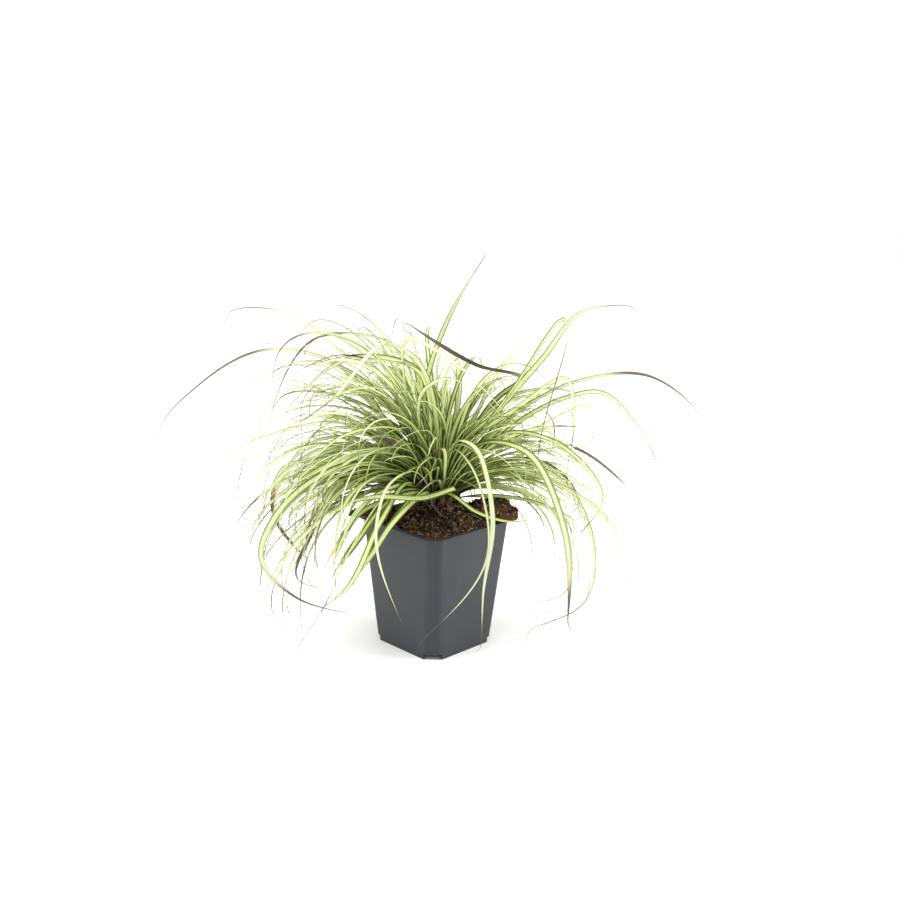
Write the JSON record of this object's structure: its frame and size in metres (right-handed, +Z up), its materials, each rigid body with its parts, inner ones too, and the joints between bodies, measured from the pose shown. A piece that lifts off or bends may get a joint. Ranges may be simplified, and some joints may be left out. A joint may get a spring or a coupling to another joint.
{
  "type": "variegated carex sedge in a square nursery pot",
  "caption": "Tuft of long arching cream-striped sedge leaves rising from one crown in a soil-filled square nursery pot with cut corners.",
  "frame": {"origin": "centre of the pot's foot, on the boss under its floor, where it stands on the ground", "axes": "+Z up; the pot's four sides face +X, -X, +Y and -Y; the cut corner between +X and -Y points to the front, and the leaves reach furthest towards -X -Y"},
  "size_m": [0.3505, 0.3196, 0.2903],
  "materials": {
    "pot_plastic": "satin moulded polypropylene",
    "peat": "loose moist peat and coir, fully matte",
    "sedge_leaf": "living leaf, soft sheen, cream band between green margins",
    "dry_leaf": "dead leaf, matte reddish brown"
  },
  "bodies": {
    "root": {"pot": "pot_plastic", "soil": "peat", "shoot_01": "sedge_leaf", "shoot_02": "sedge_leaf", "shoot_03": "sedge_leaf", "shoot_04": "sedge_leaf", "shoot_05": "sedge_leaf", "shoot_06": "sedge_leaf", "shoot_07": "sedge_leaf", "shoot_08": "sedge_leaf", "shoot_09": "sedge_leaf", "shoot_10": "sedge_leaf", "shoot_11": "sedge_leaf", "shoot_12": "sedge_leaf", "shoot_13": "sedge_leaf", "shoot_14": "sedge_leaf", "shoot_15": "sedge_leaf", "shoot_16": "sedge_leaf", "shoot_17": "sedge_leaf", "shoot_18": "sedge_leaf", "dry_shoot_01": "dry_leaf", "dry_shoot_02": "dry_leaf"}
  },
  "joints": []
}
